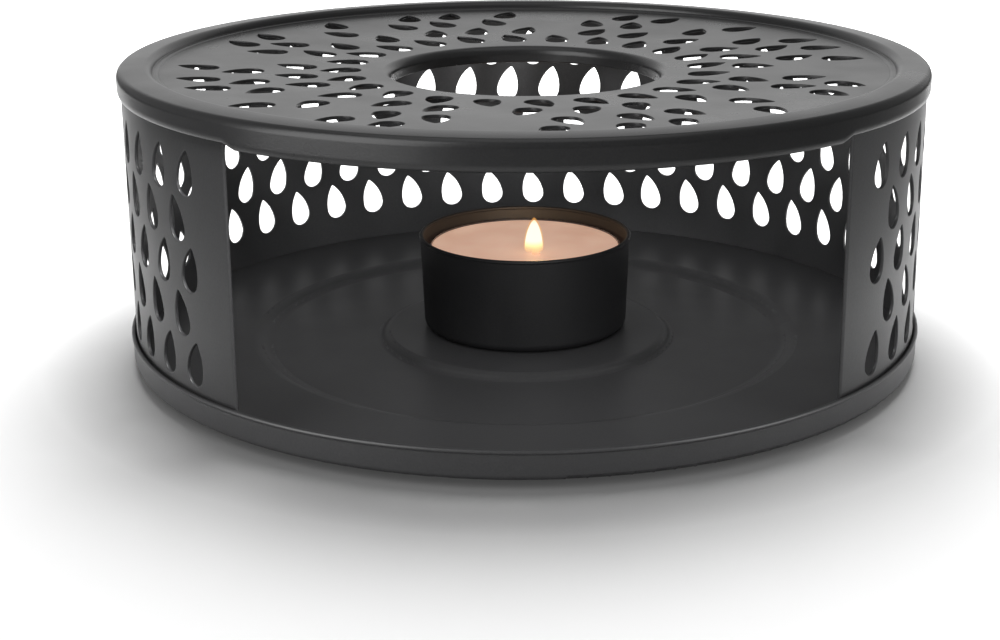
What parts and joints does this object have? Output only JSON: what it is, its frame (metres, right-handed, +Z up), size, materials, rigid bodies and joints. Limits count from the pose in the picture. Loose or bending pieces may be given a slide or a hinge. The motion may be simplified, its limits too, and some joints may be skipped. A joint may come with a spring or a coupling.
{
  "type": "teapot warmer",
  "caption": "Round perforated sheet-metal teapot warmer with a dished top, a round opening, an open front window, a beaded tray and a loose tealight holder.",
  "frame": {"origin": "on the ground under the middle of the round body", "axes": "+Z up, the open window faces -Y, +X to the right seen from the window side"},
  "size_m": [0.1606, 0.1606, 0.0596],
  "materials": {
    "coat_top": "satin black coating",
    "coat_wall": "satin black coating",
    "coat_tray": "satin black coating",
    "coat_holder": "matt black coating",
    "clear_cup": "clear, thin walled",
    "wax": "waxy, a little translucent",
    "wick": "braided cotton, charred",
    "sustainer": "thin tinned steel"
  },
  "bodies": {
    "shell": {"top_plate": "coat_top", "wall": "coat_wall", "base_tray": "coat_tray"},
    "holder": {"tealight_holder": "coat_holder"},
    "tealight": {"tealight_cup": "clear_cup", "candle_wax": "wax", "wick": "wick", "wick_sustainer": "sustainer"}
  },
  "joints": [
    {"name": "holder_lift", "type": "slide", "parent": "shell", "child": "holder", "axis": [0, 0, 1], "range_m": [0, 0.07]},
    {"name": "tealight_lift", "type": "slide", "parent": "holder", "child": "tealight", "axis": [0, 0, 1], "range_m": [0, 0.025]}
  ]
}
